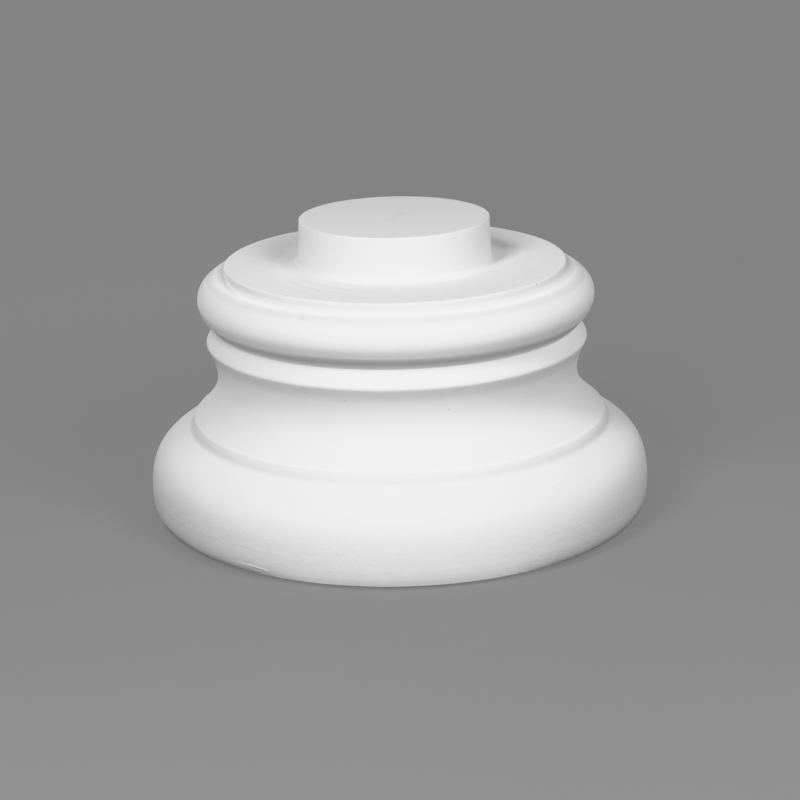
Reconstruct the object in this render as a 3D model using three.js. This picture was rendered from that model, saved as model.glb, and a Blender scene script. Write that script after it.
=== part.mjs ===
// Column base: one moulded body of revolution. Millimetres, +Z up, underside centre at the origin.
// From the ground up: lower torus, narrow fillet, hollow scotia, sloping band, upper torus with an
// undercut below it, a small cavetto, the level seat for a shaft, and a short spigot that enters
// the shaft.
import * as THREE from 'three';

// Driving dimensions: each landmark of the half section is [radius, height].
const UNDERSIDE_RIM = [152, 0];
const LOWER_TORUS_WIDEST = [170, 19.4];
const LOWER_TORUS_TOP = [142.9, 61.4];
const FILLET_TOP = [139.8, 68.1];
const BAND_FOOT = [129, 119.7];
const BAND_TOP = [122.9, 131];
const UPPER_TORUS_ARRIS = [130.9, 139.5];
const UPPER_TORUS_WIDEST = [133.6, 149];
const UPPER_TORUS_TOP = [121.2, 164.8];
const SEAT_EDGE = [114.6, 171.6];
const SPIGOT_FOOT_RADIUS = 64.8;
const SPIGOT_TOP = [63.8, 201.2];

// Directions along the section are in degrees from the outward direction, so this is upright.
const UP = 90;

// Each curve between two landmarks: the direction in which it leaves the first and the one in
// which it arrives at the second, how far it keeps to each, and its straight steps.
const TORUS_FOOT = { leaves: 0, keeps: 15.8, arrives: UP, settles: 13.4, steps: 4 };
const TORUS_SHOULDER = { leaves: UP, keeps: 27.8, arrives: 149.8, settles: 19.2, steps: 10 };
const SCOTIA = { leaves: 141.6, keeps: 26.6, arrives: 62, settles: 24, steps: 10 };
const UPPER_TORUS_WAIST = { leaves: 66, keeps: 3.1, arrives: UP, settles: 3.4, steps: 3 };
const UPPER_TORUS_CROWN = { leaves: UP, keeps: 8.9, arrives: 158, settles: 5.2, steps: 6 };
const CAVETTO = { leaves: 148, keeps: 2.6, arrives: 121, settles: 2.6, steps: 3 };

// Small cove where the spigot rises from the seat, and small arris on the spigot's top rim.
const COVE_RADIUS = 4;
const COVE_STEPS = 4;
const SPIGOT_ARRIS = 0.8;

// Facets round the axis; a multiple of four keeps vertices on both level axes.
const FACETS = 96;

// Points of the section that lie closer than this are one point.
const SAME_POINT = 1e-6;

const PRIMED_WHITE = 0xe6e6e6;
const PRIMED_ROUGHNESS = 0.65;

function heading(degrees) {
  const angle = THREE.MathUtils.degToRad(degrees);
  return new THREE.Vector2(Math.cos(angle), Math.sin(angle));
}

function swell(start, end, curve) {
  const from = new THREE.Vector2(...start);
  const to = new THREE.Vector2(...end);
  const out = heading(curve.leaves).multiplyScalar(curve.keeps).add(from);
  const back = heading(curve.arrives).multiplyScalar(-curve.settles).add(to);
  return new THREE.CubicBezierCurve(from, out, back, to).getPoints(curve.steps);
}

// A quarter cove, from the level at its outer side to the upright at its inner side.
function cove(innerRadius, footHeight) {
  const points = [];
  for (let i = 0; i <= COVE_STEPS; i += 1) {
    const turn = (i / COVE_STEPS) * (Math.PI / 2);
    const r = innerRadius + COVE_RADIUS * (1 - Math.sin(turn));
    const z = footHeight + COVE_RADIUS * (1 - Math.cos(turn));
    points.push(new THREE.Vector2(r, z));
  }
  return points;
}

function lowerTorus() {
  const foot = swell(UNDERSIDE_RIM, LOWER_TORUS_WIDEST, TORUS_FOOT);
  const shoulder = swell(LOWER_TORUS_WIDEST, LOWER_TORUS_TOP, TORUS_SHOULDER);
  return [...foot, ...shoulder];
}

// The upper torus starts at the arris of its undercut and ends nearly level at the cavetto.
function upperTorus() {
  const waist = swell(UPPER_TORUS_ARRIS, UPPER_TORUS_WIDEST, UPPER_TORUS_WAIST);
  const crown = swell(UPPER_TORUS_WIDEST, UPPER_TORUS_TOP, UPPER_TORUS_CROWN);
  return [...waist, ...crown];
}

function spigotTop() {
  const [radius, height] = SPIGOT_TOP;
  return [
    new THREE.Vector2(radius, height - SPIGOT_ARRIS),
    new THREE.Vector2(radius - SPIGOT_ARRIS, height),
  ];
}

// The half section runs from the axis at the underside to the axis at the spigot's top. The
// fillet, the band and the undercut above it are the straight runs between its curves.
function halfSection() {
  const seatHeight = SEAT_EDGE[1];
  const points = [
    new THREE.Vector2(0, 0),
    ...lowerTorus(),
    ...swell(FILLET_TOP, BAND_FOOT, SCOTIA),
    new THREE.Vector2(...BAND_TOP),
    ...upperTorus(),
    ...swell(UPPER_TORUS_TOP, SEAT_EDGE, CAVETTO),
    ...cove(SPIGOT_FOOT_RADIUS, seatHeight),
    ...spigotTop(),
    new THREE.Vector2(0, SPIGOT_TOP[1]),
  ];
  return points.filter((point, i) => i === 0 || point.distanceTo(points[i - 1]) > SAME_POINT);
}

function columnBase() {
  const geometry = new THREE.LatheGeometry(halfSection(), FACETS);
  geometry.rotateX(Math.PI / 2);
  const material = new THREE.MeshStandardMaterial({
    color: PRIMED_WHITE,
    roughness: PRIMED_ROUGHNESS,
    metalness: 0,
  });
  const mesh = new THREE.Mesh(geometry, material);
  mesh.name = 'column_base';
  return mesh;
}

const model = new THREE.Group();
model.add(columnBase());

export default model;
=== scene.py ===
"""A primed column base on a plain pale floor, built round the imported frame. Metres, +Z up."""

import math
from collections import namedtuple

import bmesh
import bpy
from mathutils import Matrix, Vector, noise


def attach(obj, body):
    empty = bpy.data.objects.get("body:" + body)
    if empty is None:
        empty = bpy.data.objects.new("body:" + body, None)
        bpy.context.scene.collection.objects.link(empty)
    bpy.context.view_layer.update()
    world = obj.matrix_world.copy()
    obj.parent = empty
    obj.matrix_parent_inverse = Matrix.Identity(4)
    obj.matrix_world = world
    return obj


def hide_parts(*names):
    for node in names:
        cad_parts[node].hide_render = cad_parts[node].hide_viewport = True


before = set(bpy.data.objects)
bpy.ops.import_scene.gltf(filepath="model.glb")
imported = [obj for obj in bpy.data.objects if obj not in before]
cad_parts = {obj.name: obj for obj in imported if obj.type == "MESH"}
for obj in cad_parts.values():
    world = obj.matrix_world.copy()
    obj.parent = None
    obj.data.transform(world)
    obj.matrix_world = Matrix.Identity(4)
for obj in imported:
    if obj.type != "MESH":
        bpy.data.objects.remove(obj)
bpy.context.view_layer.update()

# The section and the marks on the surface are in millimetres and degrees, the scene in metres
MM = 0.001

# Half section of the base: each landmark is (radius, height)
UNDERSIDE_RIM = (152.0, 0.0)
LOWER_TORUS_WIDEST = (170.0, 19.4)
LOWER_TORUS_TOP = (142.9, 61.4)
FILLET_TOP = (139.8, 68.1)
BAND_FOOT = (129.0, 119.7)
BAND_TOP = (122.9, 131.0)
UPPER_TORUS_ARRIS = (130.9, 139.5)
UPPER_TORUS_WIDEST = (133.6, 149.0)
UPPER_TORUS_TOP = (121.2, 164.8)
SEAT_EDGE = (114.6, 171.6)
COVE_RADIUS = 4.0
SPIGOT_FOOT = (64.8, 175.6)
SPIGOT_TOP = (63.8, 201.2)

# Upright along the section, measured like every direction there from the outward one
UP = 90.0

# Each curve between two landmarks: the direction in which it leaves the first and the one in which
# it arrives at the second, how far it keeps to each, and its straight steps
Curve = namedtuple("Curve", "leaves keeps arrives settles steps")
TORUS_FOOT = Curve(leaves=0.0, keeps=15.8, arrives=UP, settles=13.4, steps=18)
TORUS_SHOULDER = Curve(leaves=UP, keeps=27.8, arrives=149.8, settles=19.2, steps=30)
SCOTIA = Curve(leaves=141.6, keeps=26.6, arrives=62.0, settles=24.0, steps=34)
UPPER_TORUS_WAIST = Curve(leaves=66.0, keeps=3.1, arrives=UP, settles=3.4, steps=8)
UPPER_TORUS_CROWN = Curve(leaves=UP, keeps=8.9, arrives=158.0, settles=5.2, steps=16)
CAVETTO = Curve(leaves=152.0, keeps=3.0, arrives=107.0, settles=3.3, steps=16)

# Steps of the small cove and of the straight stretches, close enough for the marks on them
COVE_STEPS = 6
UNDERSIDE_STEPS = 12
FILLET_STEPS = 6
BAND_STEPS = 8
UNDERCUT_STEPS = 7
SEAT_STEPS = 30
SPIGOT_STEPS = 8
SPIGOT_TOP_STEPS = 14

# How far each corner is worn round, along the section, and in how many steps
SMOOTH = 0.0
CRISP = 0.7
WORN = 1.2
SPIGOT_RIM = 0.7
FILLET_HOLLOW = 1.6
SEAT_ARRIS = 1.1
BAND_ARRIS = 1.4
WORN_STEPS = 3

# Facets round the axis, and cuts in each facet that lies within a margin of a mark
TURNS = 360
FINE_CUTS = 4
MARK_MARGIN = 1.5

# The mould sat a little off the axis at the lower torus's top, towards +X
RUN_OUT = 1.3
RUN_OUT_HEIGHT = 60.0
RUN_OUT_SPREAD = 13.0

# Points of the surface whose heights differ by less than this are level with each other
SAME_LEVEL = 0.05


def heading(degrees):
    """Unit vector in the section plane, from the outward direction."""
    angle = math.radians(degrees)
    return Vector((math.cos(angle), math.sin(angle)))


def swell(start, end, curve):
    """The stretch of a curve between two landmarks."""
    first, last = Vector(start), Vector(end)
    leaving = first + heading(curve.leaves) * curve.keeps
    arriving = last - heading(curve.arrives) * curve.settles
    points = []
    for i in range(curve.steps + 1):
        t = i / curve.steps
        s = 1.0 - t
        pulled = leaving * (3 * t * s * s) + arriving * (3 * t * t * s)
        points.append(first * s**3 + pulled + last * t**3)
    return points


def straight(start, end, steps):
    first, last = Vector(start), Vector(end)
    return [first.lerp(last, i / steps) for i in range(steps + 1)]


def cove(end, radius):
    """A quarter hollow from the level at its outer side to the upright that ends it."""
    points = []
    for i in range(COVE_STEPS + 1):
        turn = math.pi / 2 * i / COVE_STEPS
        points.append(Vector((
            end[0] + radius * (1 - math.sin(turn)),
            end[1] - radius * math.cos(turn),
        )))
    return points


def joined(first, second, reach):
    """Two stretches that meet at a corner, with the corner worn round over reach."""
    if reach == SMOOTH:
        return first + second[1:]
    corner = first[-1]
    kept = [point for point in first if (point - corner).length > reach]
    rest = [point for point in second if (point - corner).length > reach]
    start = corner + (kept[-1] - corner).normalized() * reach
    end = corner + (rest[0] - corner).normalized() * reach
    arris = []
    for i in range(WORN_STEPS + 1):
        t = i / WORN_STEPS
        arris.append(start * (1 - t) ** 2 + corner * (2 * t * (1 - t)) + end * t**2)
    return kept + arris + rest


def half_section():
    """The section from the axis at the underside up to the axis at the spigot's top. Each stretch
    stands beside the wear of the corner that ends it."""
    underside_middle = (0.0, UNDERSIDE_RIM[1])
    seat_inner = (SPIGOT_FOOT[0] + COVE_RADIUS, SEAT_EDGE[1])
    top_middle = (0.0, SPIGOT_TOP[1])
    stretches = [
        (straight(underside_middle, UNDERSIDE_RIM, UNDERSIDE_STEPS), SMOOTH),
        (swell(UNDERSIDE_RIM, LOWER_TORUS_WIDEST, TORUS_FOOT), SMOOTH),
        (swell(LOWER_TORUS_WIDEST, LOWER_TORUS_TOP, TORUS_SHOULDER), FILLET_HOLLOW),
        (straight(LOWER_TORUS_TOP, FILLET_TOP, FILLET_STEPS), CRISP),
        (swell(FILLET_TOP, BAND_FOOT, SCOTIA), BAND_ARRIS),
        (straight(BAND_FOOT, BAND_TOP, BAND_STEPS), CRISP),
        (straight(BAND_TOP, UPPER_TORUS_ARRIS, UNDERCUT_STEPS), CRISP),
        (swell(UPPER_TORUS_ARRIS, UPPER_TORUS_WIDEST, UPPER_TORUS_WAIST), SMOOTH),
        (swell(UPPER_TORUS_WIDEST, UPPER_TORUS_TOP, UPPER_TORUS_CROWN), WORN),
        (swell(UPPER_TORUS_TOP, SEAT_EDGE, CAVETTO), SEAT_ARRIS),
        (straight(SEAT_EDGE, seat_inner, SEAT_STEPS), SMOOTH),
        (cove(SPIGOT_FOOT, COVE_RADIUS), SMOOTH),
        (straight(SPIGOT_FOOT, SPIGOT_TOP, SPIGOT_STEPS), SPIGOT_RIM),
        (straight(SPIGOT_TOP, top_middle, SPIGOT_TOP_STEPS), SMOOTH),
    ]
    section, reach = stretches[0]
    for stretch, next_reach in stretches[1:]:
        section = joined(section, stretch, reach)
        reach = next_reach
    return section


def at(bearing, radius, height):
    """A point by its bearing, which is 0 towards the camera's side (-Y) and grows towards +X."""
    angle = math.radians(bearing)
    return Vector((radius * math.sin(angle), -radius * math.cos(angle), height))


class Mark:
    """A dent or stroke between two points of the surface. A depth below zero stands proud, the colour
    over it is painted darker by the amount given (lighter below zero), and flat is the share of its
    half width that is fully deep."""

    def __init__(self, start, end, half_width, depth, darkening, flat):
        self.start = start
        self.run = end - start
        self.half_width = half_width
        self.depth = depth
        self.darkening = darkening
        self.flat = flat

    def distance(self, point):
        """How far the point lies from the stroke, in half widths."""
        across = point - self.start
        if self.run.length_squared > 0:
            share = max(0.0, min(1.0, across.dot(self.run) / self.run.length_squared))
            across = across - self.run * share
        return across.length / self.half_width

    def strength(self, point):
        """1 on the stroke and over its flat share, falling smoothly to 0 at its edge."""
        distance = self.distance(point)
        if distance >= 1.0:
            return 0.0
        fall = max(0.0, distance - self.flat) / (1.0 - self.flat)
        return (1.0 - fall * fall) ** 2


def pit(place, half_width, depth, darkening=0.0, flat=0.0):
    """A round mark; its place is (bearing, radius, height)."""
    point = at(*place)
    return Mark(point, point, half_width, depth, darkening, flat)


def stroke(start, end, half_width, depth, darkening=0.0, flat=0.0):
    """A long mark; both its ends are (bearing, radius, height)."""
    return Mark(at(*start), at(*end), half_width, depth, darkening, flat)


def seat_edge_chips():
    """A burst place on the seat's edge at the right front, and a notch at the left front."""
    return [
        pit((52.2, 115.2, 170.5), half_width=1.3, depth=0.55, darkening=0.24),
        pit((51.4, 115.6, 169.8), half_width=1.2, depth=0.2, darkening=0.08),
        pit((53.8, 115.6, 169.8), half_width=1.0, depth=0.15, darkening=0.05),
        pit((54.6, 115.3, 170.4), half_width=0.9, depth=-0.12),
        pit((55.6, 116.2, 169.4), half_width=1.0, depth=0.16, darkening=0.05),
        pit((57.2, 115.4, 170.2), half_width=1.1, depth=0.14, darkening=0.04),
        pit((58.8, 115.8, 169.8), half_width=1.2, depth=0.2, darkening=0.08),
        stroke((-38.2, 110.2, 171.6), (-38.4, 113.6, 171.6),
               half_width=2.2, depth=0.4, darkening=0.13, flat=0.3),
        pit((-36.4, 113.8, 171.6), half_width=1.5, depth=0.25, darkening=0.06),
        pit((-40.0, 113.2, 171.6), half_width=1.5, depth=0.18, darkening=0.05),
    ]


def casting_pits():
    """Pinholes in the scotia, and some beside the fillet."""
    return [
        pit((15.1, 122.4, 102.3), half_width=1.0, depth=0.35, darkening=0.24),
        pit((16.9, 122.2, 100.6), half_width=0.9, depth=0.12, darkening=0.04),
        pit((15.6, 122.2, 99.2), half_width=0.9, depth=0.1, darkening=0.03),
        pit((-28.1, 124.2, 109.0), half_width=0.9, depth=0.35, darkening=0.22),
        pit((-27.4, 124.8, 110.8), half_width=0.9, depth=0.1, darkening=0.04),
        pit((-15.5, 124.6, 110.4), half_width=0.9, depth=0.35, darkening=0.2),
        pit((-15.3, 123.6, 107.0), half_width=1.2, depth=0.1, darkening=0.04),
        pit((-15.5, 122.7, 103.2), half_width=1.2, depth=0.1, darkening=0.05),
        pit((42.4, 141.4, 64.9), half_width=1.0, depth=0.2, darkening=0.1),
        pit((41.9, 142.0, 63.6), half_width=1.0, depth=0.15, darkening=0.08),
        pit((45.6, 141.0, 65.6), half_width=0.9, depth=0.1, darkening=0.06),
    ]


def crown_dimple():
    """The round print on the upper torus's crown: a shallow ring with a raised middle."""
    high, low = (-29.2, 122.9, 164.2), (-28.2, 126.0, 162.7)
    return [
        stroke(high, low, half_width=2.2, depth=0.06, darkening=0.08, flat=0.6),
        stroke(high, low, half_width=1.3, depth=-0.05, darkening=-0.06),
    ]


def foot_scuffs():
    """Torn burrs and one groove, low on the left of the lower torus."""
    return [
        stroke((-37.8, 168.9, 8.8), (-36.0, 168.8, 8.4), half_width=0.8, depth=-0.24),
        stroke((-35.2, 168.9, 8.9), (-31.6, 168.7, 8.1), half_width=0.9, depth=-0.34),
        stroke((-34.0, 168.4, 7.3), (-31.2, 168.1, 6.6), half_width=0.8, depth=0.28, darkening=0.24),
        stroke((-31.2, 168.5, 7.7), (-29.8, 168.4, 7.3), half_width=0.8, depth=-0.26),
    ]


def shoulder_nicks():
    """Nicks and a short scratch, high on the right of the lower torus."""
    return [
        stroke((36.9, 158.1, 51.9), (37.9, 158.0, 51.9), half_width=0.8, depth=0.14, darkening=0.09),
        pit((39.5, 158.3, 51.7), half_width=1.0, depth=0.25, darkening=0.16),
        stroke((38.3, 157.8, 52.8), (40.1, 157.6, 52.8), half_width=0.8, depth=-0.12),
        stroke((40.8, 155.7, 53.8), (43.8, 153.8, 54.8), half_width=0.8, depth=0.06, darkening=0.02),
        pit((44.9, 151.7, 56.3), half_width=0.9, depth=0.16, darkening=0.12),
    ]


def seat_painted_shadow():
    """A painted shadow on the seat, behind the spigot on the right: a greyer patch without depth."""
    return [stroke((126.0, 80.0, 171.6), (112.0, 82.0, 171.6), half_width=13.0, depth=0.0, darkening=0.19)]


def fade(value, low, high):
    """0 below low and 1 above high, smoothly."""
    t = max(0.0, min(1.0, (value - low) / (high - low)))
    return t * t * (3 - 2 * t)


def within(value, start, end):
    """1 between two passages and 0 outside them; each passage is the pair of values it spans."""
    return fade(value, *start) * (1.0 - fade(value, *end))


def drift(bearing, across, cell, seed):
    """Smooth noise over the turned surface; cell is its size in bearing and across it."""
    return noise.noise(Vector((bearing / cell[0], across / cell[1], seed)))


# The seat's swirl: shallow spiral strokes left by smoothing, with a finer comb in them. It is
# strongest on the left front, and weaker on the right. The pairs are passages in which it comes
# and goes, by radius and by bearing.
SWIRL_PITCH = 11.5
SWIRL_DEPTH = 0.4
SWIRL_LEAD = 0.31
SWIRL_MIDDLE = -70.0
SWIRL_RING = ((67.0, 73.0), (88.0, 104.0))
SWIRL_LEFT = ((-130.0, -90.0), (-30.0, -5.0))
SWIRL_RIGHT = ((45.0, 80.0), (120.0, 145.0))
SWIRL_RIGHT_SHARE = 0.6
SWIRL_WANDER = 4.0
SWIRL_WANDER_CELL = (21.0, 15.0)
SWIRL_SHARE = 0.8
SWIRL_SHARE_DRIFT = 0.4
SWIRL_SHARE_CELL = (19.0, 12.0)
COMB_PITCH = 5.0
COMB_DEPTH = 0.05


def seat_swirl(bearing, point):
    radius = math.hypot(point.x, point.y)
    left = within(bearing, *SWIRL_LEFT)
    right = SWIRL_RIGHT_SHARE * within(bearing, *SWIRL_RIGHT)
    strength = within(radius, *SWIRL_RING) * (left + right)
    if strength == 0.0:
        return 0.0
    lead = SWIRL_LEAD * (bearing - SWIRL_MIDDLE)
    along = radius - lead + SWIRL_WANDER * drift(bearing, radius, SWIRL_WANDER_CELL, seed=3.7)
    share = SWIRL_SHARE + SWIRL_SHARE_DRIFT * drift(bearing, radius, SWIRL_SHARE_CELL, seed=9.1)
    wave = SWIRL_DEPTH * math.sin(2 * math.pi * along / SWIRL_PITCH)
    comb = COMB_DEPTH * math.sin(2 * math.pi * along / COMB_PITCH)
    return strength * share * (wave + comb)


# The thin ridge that a scraper left along the left side of the cavetto. It runs at one radius up to
# the bend, and drifts outward from there. The pairs are the passages in which it comes and goes.
RIDGE_HEIGHT = 0.72
RIDGE_HALF_WIDTH = 1.4
RIDGE_RADIUS = 116.1
RIDGE_BEND = -75.0
RIDGE_DRIFT = 0.215
RIDGE_RUN = ((-118.0, -96.0), (-60.0, -52.0))
RIDGE_FLOOR = UPPER_TORUS_TOP[1] - 1.0


def cavetto_ridge(bearing, point):
    strength = within(bearing, *RIDGE_RUN)
    middle = RIDGE_RADIUS + RIDGE_DRIFT * max(0.0, bearing - RIDGE_BEND)
    off = (math.hypot(point.x, point.y) - middle) / RIDGE_HALF_WIDTH
    if strength == 0.0 or abs(off) >= 1.0:
        return 0.0
    return RIDGE_HEIGHT * strength * (1.0 - off * off) ** 2


# Tool strokes round the right-hand side of the foot, with gaps between them. The pairs are the
# passages in which they come and go, by bearing and by height.
STROKE_PITCH = 5.0
STROKE_DEPTH = 0.13
STROKE_LEAD = 0.12
STROKE_MIDDLE = 60.0
STROKE_SIDE = ((35.0, 55.0), (90.0, 120.0))
STROKE_ZONE = ((8.0, 14.0), (28.0, 38.0))
STROKE_WANDER = 3.0
STROKE_WANDER_CELL = (17.0, 11.0)
STROKE_SHARE = 0.5
STROKE_SHARE_CELL = (5.0, 3.0)


def foot_strokes(bearing, point):
    strength = within(bearing, *STROKE_SIDE) * within(point.z, *STROKE_ZONE)
    if strength == 0.0:
        return 0.0
    lead = STROKE_LEAD * (bearing - STROKE_MIDDLE)
    along = point.z - lead + STROKE_WANDER * drift(bearing, point.z, STROKE_WANDER_CELL, seed=5.3)
    share = max(0.0, STROKE_SHARE + drift(bearing, point.z, STROKE_SHARE_CELL, seed=1.9))
    return STROKE_DEPTH * strength * share * math.sin(2 * math.pi * along / STROKE_PITCH)


# Slow swells over the whole surface, each (size, depth). The finished surface lies a little inside
# the section, so that its swells stay within it.
SWELLS = ((27.0, 0.055), (10.0, 0.018))
SURFACE_ALLOWANCE = 0.07


def unevenness(point):
    return sum(depth * noise.noise(point / size) for size, depth in SWELLS)


def hand_finish(bearing, flat, point):
    """How far the hand's work raises the surface over the section, at a point above the underside."""
    relief = unevenness(point) - SURFACE_ALLOWANCE + foot_strokes(bearing, point)
    if flat.x > SPIGOT_FOOT[0] and flat.y > SEAT_EDGE[1] - SAME_LEVEL:
        relief += seat_swirl(bearing, point)
    if flat.x > SEAT_EDGE[0] and flat.y > RIDGE_FLOOR:
        relief += cavetto_ridge(bearing, point)
    return relief


def run_out(height):
    """How far the surface at this height stands off the axis, towards +X."""
    off = (height - RUN_OUT_HEIGHT) / RUN_OUT_SPREAD
    return RUN_OUT * math.exp(-off * off)


def section_normals(section):
    """The outward direction at each point of the section."""
    normals = []
    for k in range(len(section)):
        before = section[max(k - 1, 0)]
        after = section[min(k + 1, len(section) - 1)]
        along = (after - before).normalized()
        normals.append(Vector((along.y, -along.x)))
    return normals


def worked_surface(section, marks):
    """Gives the function that places a point of the worked surface in metres, by its run along the
    section and its bearing, and says how much darker its colour is painted there: in the dents, and as
    the painted shadow on the seat."""
    normals = section_normals(section)

    def place(run, bearing):
        k = min(int(run), len(section) - 2)
        flat = section[k].lerp(section[k + 1], run - k)
        normal = normals[k].lerp(normals[k + 1], run - k).normalized()
        point = at(bearing, flat.x, flat.y)
        if flat.y < SAME_LEVEL:
            return point * MM, 0.0
        relief = hand_finish(bearing, flat, point)
        darkening = 0.0
        for mark in marks:
            strength = mark.strength(point)
            relief -= mark.depth * strength
            darkening += mark.darkening * strength
        worked = at(bearing, flat.x + normal.x * relief, flat.y + normal.y * relief)
        worked.x += run_out(flat.y)
        return worked * MM, darkening

    return place


def turned_facets(bm, section):
    """Turns the section round the axis. Each vertex keeps its run and its bearing in a layer."""
    run_layer = bm.verts.layers.float.new("run")
    bearing_layer = bm.verts.layers.float.new("bearing")

    def add(run, turn):
        bearing = 360.0 * turn / TURNS - 180.0
        vertex = bm.verts.new(at(bearing, section[run].x, section[run].y))
        vertex[run_layer] = run
        vertex[bearing_layer] = bearing
        return vertex

    foot = add(0, 0)
    head = add(len(section) - 1, 0)
    rings = [[add(run, turn) for turn in range(TURNS)] for run in range(1, len(section) - 1)]
    for i in range(TURNS):
        j = (i + 1) % TURNS
        bm.faces.new((foot, rings[0][j], rings[0][i]))
        bm.faces.new((head, rings[-1][i], rings[-1][j]))
        for low, high in zip(rings, rings[1:]):
            bm.faces.new((low[i], low[j], high[j], high[i]))


def near_a_mark(point, marks):
    return any(mark.distance(point) < 1.0 + MARK_MARGIN / mark.half_width for mark in marks)


def cut_finer(bm, marks):
    """Cuts the facets near a mark, so that its shape is geometry."""
    near = [face for face in bm.faces
            if len(face.verts) == 4 and near_a_mark(face.calc_center_median(), marks)]
    edges = list({edge for face in near for edge in face.edges})
    bmesh.ops.subdivide_edges(bm, edges=edges, cuts=FINE_CUTS, use_grid_fill=True)


def turned_mesh(name, section, marks, painted_shadows):
    """The turned body with its marks cut in. A painted shadow has no depth, so its facets aren't cut
    finer.
    """
    bm = bmesh.new()
    turned_facets(bm, section)
    cut_finer(bm, marks)
    layers = bm.verts.layers.float
    run_layer, bearing_layer = layers["run"], layers["bearing"]
    place = worked_surface(section, marks + painted_shadows)
    darkenings = []
    for vertex in bm.verts:
        vertex.co, darkening = place(vertex[run_layer], vertex[bearing_layer])
        darkenings.append(darkening)
    for label in ("run", "bearing"):
        layers.remove(layers[label])
    mesh = bpy.data.meshes.new(name)
    bm.to_mesh(mesh)
    bm.free()
    mesh.attributes.new("darkening", "FLOAT", "POINT").data.foreach_set("value", darkenings)
    mesh.shade_smooth()
    return mesh


def add_object(name, data):
    new = bpy.data.objects.new(name, data)
    bpy.context.collection.objects.link(new)
    return new


def new_group(name, inputs, outputs):
    """An empty shader node group: inputs maps a name to its default, outputs lists names."""
    group = bpy.data.node_groups.new(name, "ShaderNodeTree")
    for label, default in inputs.items():
        kind = "NodeSocketVector" if isinstance(default, tuple) else "NodeSocketFloat"
        group.interface.new_socket(label, in_out="INPUT", socket_type=kind).default_value = default
    for label in outputs:
        group.interface.new_socket(label, in_out="OUTPUT", socket_type="NodeSocketFloat")
    given = group.nodes.new("NodeGroupInput").outputs
    made = group.nodes.new("NodeGroupOutput").inputs
    return group, given, made


class Wiring:
    """Short calls that add nodes to a tree and link what feeds them."""

    def __init__(self, tree):
        self.tree = tree

    def feed(self, socket, value):
        """Links the value if another node puts it out, and sets it if it is plain."""
        if isinstance(value, bpy.types.NodeSocket):
            self.tree.links.new(value, socket)
        else:
            socket.default_value = value

    def math(self, operation, *values):
        node = self.tree.nodes.new("ShaderNodeMath")
        node.operation = operation
        for socket, value in zip(node.inputs, values):
            self.feed(socket, value)
        return node.outputs[0]

    def vector(self, operation, *values):
        node = self.tree.nodes.new("ShaderNodeVectorMath")
        node.operation = operation
        for socket, value in zip(node.inputs, values):
            self.feed(socket, value)
        return node.outputs["Value"] if operation in ("LENGTH", "DOT_PRODUCT") else node.outputs[0]

    def scaled(self, vector, factor):
        node = self.tree.nodes.new("ShaderNodeVectorMath")
        node.operation = "SCALE"
        self.feed(node.inputs[0], vector)
        self.feed(node.inputs["Scale"], factor)
        return node.outputs[0]

    def place(self):
        return self.tree.nodes.new("ShaderNodeTexCoord").outputs["Object"]

    def split(self, vector):
        node = self.tree.nodes.new("ShaderNodeSeparateXYZ")
        self.feed(node.inputs[0], vector)
        return tuple(node.outputs)

    def join(self, x, y, z):
        node = self.tree.nodes.new("ShaderNodeCombineXYZ")
        for socket, value in zip(node.inputs, (x, y, z)):
            self.feed(socket, value)
        return node.outputs[0]

    def from_axis(self, x, y):
        return self.vector("LENGTH", self.join(x, y, 0.0))

    def noise(self, vector, scale, detail, roughness):
        node = self.tree.nodes.new("ShaderNodeTexNoise")
        self.feed(node.inputs["Vector"], vector)
        self.feed(node.inputs["Scale"], scale)
        self.feed(node.inputs["Detail"], detail)
        self.feed(node.inputs["Roughness"], roughness)
        return node.outputs["Fac"]

    def ramp(self, value, low, high, start, end):
        """Start below low and end above high, smoothly."""
        node = self.tree.nodes.new("ShaderNodeMapRange")
        node.interpolation_type = "SMOOTHSTEP"
        labels = ("Value", "From Min", "From Max", "To Min", "To Max")
        for label, given in zip(labels, (value, low, high, start, end)):
            self.feed(node.inputs[label], given)
        return node.outputs["Result"]

    def group(self, group, **values):
        node = self.tree.nodes.new("ShaderNodeGroup")
        node.node_tree = group
        for label, value in values.items():
            self.feed(node.inputs[label], value)
        return node.outputs


def orange_peel():
    """The primer's fine grain; Size is in metres."""
    group, given, made = new_group("orange_peel", {"Size": 0.001}, ["Height"])
    wire = Wiring(group)
    scale = wire.math("DIVIDE", 1.0, given["Size"])
    wire.feed(made["Height"], wire.noise(wire.place(), scale, detail=2.0, roughness=0.6))
    return group


# How much the turning lines change from one side of the base to the other, in pitches
LINES_CHANGE = 1.6


def turning_lines():
    """Fine rings round the axis that come and go; Pitch is in metres."""
    group, given, made = new_group("turning_lines", {"Pitch": 0.002}, ["Height"])
    wire = Wiring(group)
    x, y, z = wire.split(wire.place())
    across = wire.math("DIVIDE", wire.from_axis(x, y), given["Pitch"])
    up = wire.math("DIVIDE", z, given["Pitch"])
    side = wire.scaled(wire.vector("NORMALIZE", wire.join(x, y, 0.0)), LINES_CHANGE)
    east, north, _ = wire.split(side)
    rings = wire.vector("ADD", wire.join(across, up, 0.0), wire.join(east, 0.0, north))
    wire.feed(made["Height"], wire.noise(rings, 1.0, detail=1.0, roughness=0.5))
    return group


def ring_mask():
    """1 on a ring of the given Radius and Height, falling to 0 at Reach, all in metres."""
    sizes = {"Radius": 0.1, "Height": 0.1, "Reach": 0.002}
    group, given, made = new_group("ring_mask", sizes, ["Mask"])
    wire = Wiring(group)
    x, y, z = wire.split(wire.place())
    outward = wire.math("SUBTRACT", wire.from_axis(x, y), given["Radius"])
    upward = wire.math("SUBTRACT", z, given["Height"])
    off = wire.vector("LENGTH", wire.join(outward, upward, 0.0))
    share = wire.math("DIVIDE", off, given["Reach"])
    wire.feed(made["Mask"], wire.ramp(share, 0.0, 1.0, 1.0, 0.0))
    return group


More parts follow.
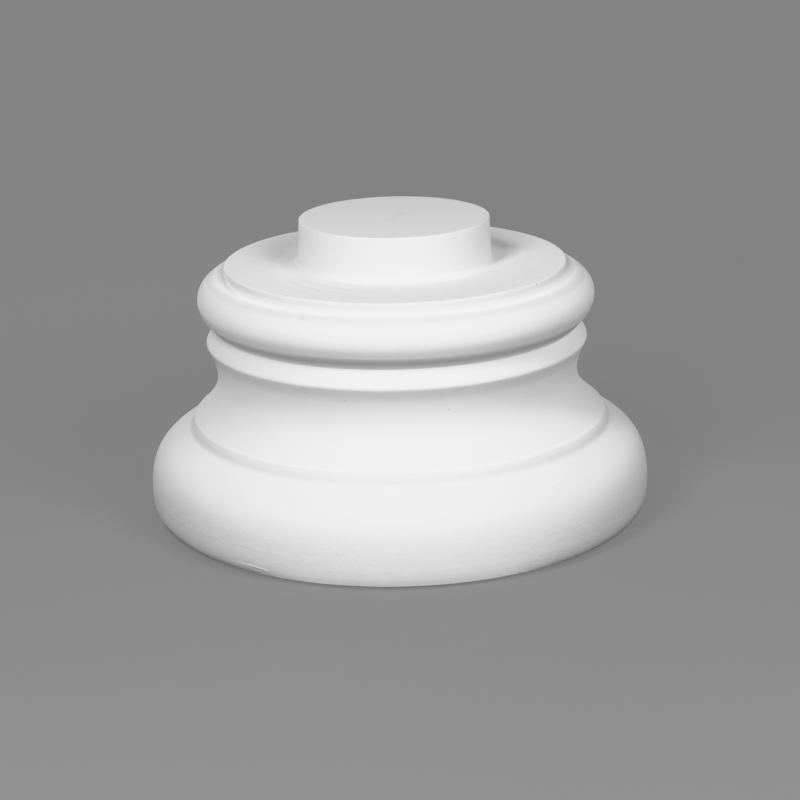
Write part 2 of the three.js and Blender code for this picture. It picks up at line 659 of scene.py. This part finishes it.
def scratch_mask():
    """1 along a thin stroke from Start to End and 0 at Width from it, in metres."""
    zero = (0.0, 0.0, 0.0)
    ends = {"Start": zero, "End": zero, "Width": 0.0005}
    group, given, made = new_group("scratch_mask", ends, ["Mask"])
    wire = Wiring(group)
    run = wire.vector("SUBTRACT", given["End"], given["Start"])
    across = wire.vector("SUBTRACT", wire.place(), given["Start"])
    along = wire.vector("DOT_PRODUCT", across, run)
    share = wire.math("DIVIDE", along, wire.vector("DOT_PRODUCT", run, run))
    share = wire.math("MINIMUM", wire.math("MAXIMUM", share, 0.0), 1.0)
    off = wire.vector("LENGTH", wire.vector("SUBTRACT", across, wire.scaled(run, share)))
    off = wire.math("DIVIDE", off, given["Width"])
    wire.feed(made["Mask"], wire.ramp(off, 0.0, 1.0, 1.0, 0.0))
    return group


# Rings painted lighter as highlights on the arrises: where on the section, how far they reach, how much
PAINTED_HIGHLIGHTS = (
    (SPIGOT_TOP, 1.6, 0.05),
    (SEAT_EDGE, 1.4, 0.05),
    ((120.6, 165.4), 3.0, 0.22),
    (BAND_FOOT, 1.6, 0.05),
    ((139.4, 69.0), 2.2, 0.07),
)

# The painted highlight is lightest at the front, where the lights stand: full up to the first Y, and
# least from the second on
HIGHLIGHT_FRONT = (-80.0, -20.0)
HIGHLIGHT_LEAST = 0.35

# Hollows painted darker as shade, in the same terms as the highlight rings
PAINTED_SHADE_RINGS = (
    ((132.2, 142.6), 6.5, 0.13),
    ((127.0, 114.5), 8.0, 0.11),
    ((142.2, 63.4), 4.0, 0.09),
    ((125.6, 162.9), 4.0, 0.08),
    ((115.6, 169.0), 3.4, 0.15),
)

# The undercut gets the darkest painted shade: the heights over which it sets in keep it off the band
UNDERCUT_MIDDLE = (127.4, 135.9)
UNDERCUT_REACH = 7.0
UNDERCUT_START = (130.6, 132.4)
UNDERCUT_SHADE = 0.33

# The spigot's top is painted a little darker than the rest, as shade, from just below its rim
TOP_SHADE = 0.075
TOP_START = (SPIGOT_TOP[1] - 0.6, SPIGOT_TOP[1] - 0.1)

# The scratches on the spigot's top: start, end and width, then how dark and how deep they are
TOP_SCRATCHES = (
    ((-4.7, -8.8), (15.7, 23.5), 1.0),
    ((0.6, 6.8), (6.3, 14.5), 1.7),
    ((-5.0, -17.0), (-1.0, -11.0), 0.8),
)
SCRATCH_SHADE = 0.07
SCRATCH_DEPTH = 2.5

# The primer's colour and gloss, and how much its coarse grain changes the colour
PRIMER_WHITE = 0.8
PRIMER_ROUGHNESS = 0.65
PRIMER_GLOSS = 0.3
MOTTLE = 0.02
NOISE_MIDDLE = 0.5

# Orange peel in two sizes and the turning lines, each with its share of the height
FINE_SIZE = 1.1
FINE_SHARE = 0.6
COARSE_SIZE = 3.2
COARSE_SHARE = 0.5
LINES_PITCH = 2.4
LINES_SHARE = 0.5
RELIEF_DEPTH = 0.05

# Both grow from the middle of the lower torus down to its foot; the underside has no orange peel
GROWTH_HEIGHTS = (15.0, 50.0)
GRAIN_GROWTH = 8.0
LINES_GROWTH = 5.0
UNDERSIDE_FADE = 0.5


def ring_at(wire, ring, place, reach):
    """The mask of a ring round the axis at a place of the section."""
    radius, height = place
    return wire.group(ring, Radius=radius * MM, Height=height * MM, Reach=reach * MM)["Mask"]


def over_heights(wire, above, heights, low, high):
    """Low below the first of two heights and high above the second, smoothly."""
    return wire.ramp(above, heights[0] * MM, heights[1] * MM, low, high)


def painted_highlight(wire, ring, forward):
    """How much lighter the arrises are painted, as highlights."""
    highlighted = 0.0
    for place, reach, lift in PAINTED_HIGHLIGHTS:
        mask = ring_at(wire, ring, place, reach)
        highlighted = wire.math("MAXIMUM", highlighted, wire.math("MULTIPLY", mask, lift))
    front, behind = HIGHLIGHT_FRONT
    return wire.math("MULTIPLY", highlighted, wire.ramp(forward, front * MM, behind * MM, 1.0, HIGHLIGHT_LEAST))


def painted_shade(wire, ring, above):
    """How much darker shade is painted into the hollows and onto the spigot's top."""
    mask = ring_at(wire, ring, UNDERCUT_MIDDLE, UNDERCUT_REACH)
    drop = over_heights(wire, above, UNDERCUT_START, 0.0, UNDERCUT_SHADE)
    shaded = wire.math("MULTIPLY", mask, drop)
    for place, reach, drop in PAINTED_SHADE_RINGS:
        mask = ring_at(wire, ring, place, reach)
        shaded = wire.math("ADD", shaded, wire.math("MULTIPLY", mask, drop))
    return wire.math("ADD", shaded, over_heights(wire, above, TOP_START, 0.0, TOP_SHADE))


def scratching(wire):
    """1 in the scratches on the spigot's top."""
    line = scratch_mask()
    scratched = 0.0
    for start, end, width in TOP_SCRATCHES:
        first = Vector((*start, SPIGOT_TOP[1])) * MM
        last = Vector((*end, SPIGOT_TOP[1])) * MM
        mask = wire.group(line, Start=first, End=last, Width=width * MM)["Mask"]
        scratched = wire.math("MAXIMUM", scratched, mask)
    return scratched


def primer_relief(wire, above, fine, coarse, scratched):
    """The height of the orange peel and the turning lines, less the scratches."""
    grain = over_heights(wire, above, GROWTH_HEIGHTS, GRAIN_GROWTH, 1.0)
    grain = wire.math("MULTIPLY", grain, over_heights(wire, above, (0.0, UNDERSIDE_FADE), 0.0, 1.0))
    peel = wire.math("MULTIPLY", fine, FINE_SHARE)
    peel = wire.math("ADD", peel, wire.math("MULTIPLY", coarse, COARSE_SHARE))
    peel = wire.math("MULTIPLY", peel, grain)
    rings = wire.group(turning_lines(), Pitch=LINES_PITCH * MM)["Height"]
    drawn = over_heights(wire, above, GROWTH_HEIGHTS, LINES_SHARE * LINES_GROWTH, LINES_SHARE)
    height = wire.math("ADD", peel, wire.math("MULTIPLY", rings, drawn))
    return wire.math("SUBTRACT", height, wire.math("MULTIPLY", scratched, SCRATCH_DEPTH))


def matte_primer():
    """White primer: fine orange peel, faint turning lines, painted highlights on the arrises and
    painted shade in the hollows.
    """
    material = bpy.data.materials.new("matte_white_primer")
    material.use_nodes = True
    nodes = material.node_tree.nodes
    shader = nodes["Principled BSDF"].inputs
    shader["Roughness"].default_value = PRIMER_ROUGHNESS
    shader["Specular IOR Level"].default_value = PRIMER_GLOSS
    wire = Wiring(material.node_tree)

    peel, ring = orange_peel(), ring_mask()
    _, forward, above = wire.split(wire.place())
    fine = wire.group(peel, Size=FINE_SIZE * MM)["Height"]
    coarse = wire.group(peel, Size=COARSE_SIZE * MM)["Height"]
    scratched = scratching(wire)
    # The colour painted darker in the dents, and the painted shadow on the seat behind the spigot
    darkening = nodes.new("ShaderNodeAttribute")
    darkening.attribute_name = "darkening"

    shade = wire.math("MULTIPLY", wire.math("SUBTRACT", coarse, NOISE_MIDDLE), MOTTLE)
    shade = wire.math("ADD", shade, painted_highlight(wire, ring, forward))
    shade = wire.math("SUBTRACT", shade, painted_shade(wire, ring, above))
    shade = wire.math("SUBTRACT", shade, wire.math("MULTIPLY", scratched, SCRATCH_SHADE))
    shade = wire.math("SUBTRACT", shade, darkening.outputs["Fac"])
    grey = wire.math("MULTIPLY", wire.math("ADD", shade, 1.0), PRIMER_WHITE)
    wire.feed(shader["Base Color"], wire.join(grey, grey, grey))

    bump = nodes.new("ShaderNodeBump")
    bump.inputs["Strength"].default_value = 1.0
    bump.inputs["Distance"].default_value = RELIEF_DEPTH * MM
    wire.feed(bump.inputs["Height"], primer_relief(wire, above, fine, coarse, scratched))
    wire.feed(shader["Normal"], bump.outputs["Normal"])
    return material


def make_base():
    marks = seat_edge_chips() + casting_pits() + crown_dimple() + foot_scuffs() + shoulder_nicks()
    mesh = turned_mesh("moulded_base", half_section(), marks, seat_painted_shadow())
    mesh.materials.append(matte_primer())
    base = add_object("moulded_base", mesh)
    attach(base, "root")
    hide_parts("column_base")


# The camera sees a plain grey floor: a glow, and round the base a diffuse tone that takes light and
# shadow. Both pass into the far floor over the same distances.
FLOOR_SIZE = 24.0
FAR_GLOW = 0.25
NEAR_GLOW = 0.19
NEAR_TONE = 0.1
FAR_START = (0.45, 1.0)

# On the base the floor throws back much light just before the foot, as from a white card there,
# less beyond, and least at the sides, where a studio would stand dark flags
BOUNCE_SIDES = 0.08
BOUNCE_FRONT = 0.3
BOUNCE_CARD = 0.75
BOUNCE_BEYOND = 0.42
CARD_RADIUS = (0.168, 0.19)
CARD_HALF_WIDTH = (0.06, 0.11)
FLAG_START = (0.1, 0.17)
BEYOND_START = (0.2, 0.29)

WHITE = (1.0, 1.0, 1.0, 1.0)


def floor_bounce(wire, x, y):
    """How much light each part of the floor throws back."""
    aside = wire.math("ABSOLUTE", x)
    away = wire.from_axis(x, y)
    bounce = wire.ramp(aside, *FLAG_START, BOUNCE_FRONT, BOUNCE_SIDES)
    bounce = wire.ramp(away, *BEYOND_START, bounce, BOUNCE_BEYOND)
    card = wire.ramp(aside, *CARD_HALF_WIDTH, 1.0, 0.0)
    card = wire.math("MULTIPLY", card, wire.ramp(away, *CARD_RADIUS, 1.0, 0.0))
    card = wire.math("MULTIPLY", card, wire.math("LESS_THAN", y, 0.0))
    bounce = wire.math("ADD", bounce, wire.math("MULTIPLY", card, BOUNCE_CARD - BOUNCE_FRONT))
    return wire.join(bounce, bounce, bounce)


def pale_floor():
    """A grey glow with a little tone for the camera, and a bounce for the light on the base."""
    material = bpy.data.materials.new("pale_floor")
    material.use_nodes = True
    nodes = material.node_tree.nodes
    nodes.remove(nodes["Principled BSDF"])
    wire = Wiring(material.node_tree)
    x, y, _ = wire.split(wire.place())
    away = wire.from_axis(x, y)

    glow = nodes.new("ShaderNodeEmission")
    glow.inputs["Color"].default_value = WHITE
    wire.feed(glow.inputs["Strength"], wire.ramp(away, *FAR_START, NEAR_GLOW, FAR_GLOW))
    tone = nodes.new("ShaderNodeBsdfDiffuse")
    wire.feed(tone.inputs["Color"], wire.ramp(away, *FAR_START, NEAR_TONE, 0.0))
    shown = nodes.new("ShaderNodeAddShader")
    wire.feed(shown.inputs[0], glow.outputs[0])
    wire.feed(shown.inputs[1], tone.outputs[0])

    bounce = nodes.new("ShaderNodeBsdfDiffuse")
    wire.feed(bounce.inputs["Color"], floor_bounce(wire, x, y))
    mix = nodes.new("ShaderNodeMixShader")
    wire.feed(mix.inputs["Fac"], nodes.new("ShaderNodeLightPath").outputs["Is Camera Ray"])
    wire.feed(mix.inputs[1], bounce.outputs[0])
    wire.feed(mix.inputs[2], shown.outputs[0])
    wire.feed(nodes["Material Output"].inputs["Surface"], mix.outputs[0])
    return material


def make_floor():
    half = FLOOR_SIZE / 2
    corners = [(-half, -half, 0), (half, -half, 0), (half, half, 0), (-half, half, 0)]
    mesh = bpy.data.meshes.new("floor")
    mesh.from_pydata(corners, [], [(0, 1, 2, 3)])
    mesh.materials.append(pale_floor())
    add_object("floor", mesh)


# The photograph's view: where the camera stands, what it looks at, and how far it is rolled
CAMERA_PLACE = Vector((0.0, -1.4468, 0.5258))
CAMERA_AIM = Vector((0.0012, 0.0, 0.0727))
CAMERA_ROLL = -1.33
CAMERA_LENS = 99.7
SENSOR_WIDTH = 36.0


def make_camera():
    data = bpy.data.cameras.new("camera")
    data.sensor_width = SENSOR_WIDTH
    data.lens = CAMERA_LENS
    camera = add_object("camera", data)
    look = (CAMERA_AIM - CAMERA_PLACE).to_track_quat("-Z", "Y").to_matrix().to_4x4()
    roll = Matrix.Rotation(math.radians(CAMERA_ROLL), 4, "Z")
    camera.matrix_world = Matrix.Translation(CAMERA_PLACE) @ look @ roll
    bpy.context.scene.camera = camera


# How bright the white backdrop mirrors in the primer, which shows at the edges of the form
BACKDROP_SHEEN = 0.15


def make_backdrop():
    world = bpy.data.worlds.new("studio")
    bpy.context.scene.world = world
    world.use_nodes = True
    wire = Wiring(world.node_tree)
    path = world.node_tree.nodes.new("ShaderNodeLightPath").outputs
    background = world.node_tree.nodes["Background"].inputs
    background["Color"].default_value = WHITE
    seen = wire.math("MULTIPLY", path["Is Camera Ray"], FAR_GLOW)
    mirrored = wire.math("MULTIPLY", path["Is Glossy Ray"], BACKDROP_SHEEN)
    wire.feed(background["Strength"], wire.math("ADD", seen, mirrored))


# Where the round studio lights stand and what they point at
LIGHT_DISTANCE = 1.2
LIGHT_AIM = Vector((0.0, 0.0, 0.1))

# Each light: bearing from the camera's side, rise above the level, brightness and width
STUDIO_LIGHTS = {
    "left_key": (-30.0, 32.0, 0.374, 0.3),
    "right_key": (30.0, 32.0, 0.277, 0.3),
    "left_top": (-30.0, 47.0, 0.255, 0.3),
    "right_side": (45.0, 32.0, 0.154, 0.3),
    "right_top": (45.0, 47.0, 0.119, 0.3),
    "low_left": (-105.0, 4.0, 0.082, 0.3),
    "back_left": (-150.0, 20.0, 0.176, 0.5),
    "back_right": (125.0, 20.0, 0.115, 0.5),
    "back": (180.0, 20.0, 0.097, 0.5),
}


def make_lights():
    for name, (bearing, rise, brightness, width) in STUDIO_LIGHTS.items():
        data = bpy.data.lights.new(name, "AREA")
        data.shape = "DISK"
        data.size = width
        data.energy = brightness * (math.pi * LIGHT_DISTANCE) ** 2
        light = add_object(name, data)
        level, up = math.cos(math.radians(rise)), math.sin(math.radians(rise))
        towards = at(bearing, level, up)
        light.location = LIGHT_AIM + towards * LIGHT_DISTANCE
        light.rotation_mode = "QUATERNION"
        light.rotation_quaternion = (-towards).to_track_quat("-Z", "Y")
        light.visible_camera = False


# The film's shoulder: how scene light above a middle grey is held back in the brightest parts
FILM_CURVE = (
    (0.0, 0.0),
    (0.41, 0.385),
    (0.54, 0.535),
    (0.75, 0.757),
    (0.82, 0.8),
    (0.88, 0.838),
    (0.96, 0.87),
    (1.2, 0.92),
)

# The curve that bends all three colours together, after one for each
COMBINED = 3


def set_film():
    view = bpy.context.scene.view_settings
    view.view_transform = "Standard"
    view.use_curve_mapping = True
    mapping = view.curve_mapping
    mapping.use_clip = False
    points = mapping.curves[COMBINED].points
    points[0].location = FILM_CURVE[0]
    points[1].location = FILM_CURVE[-1]
    for place in FILM_CURVE[1:-1]:
        points.new(*place)
    mapping.update()


make_base()
make_floor()
make_camera()
make_backdrop()
make_lights()
set_film()
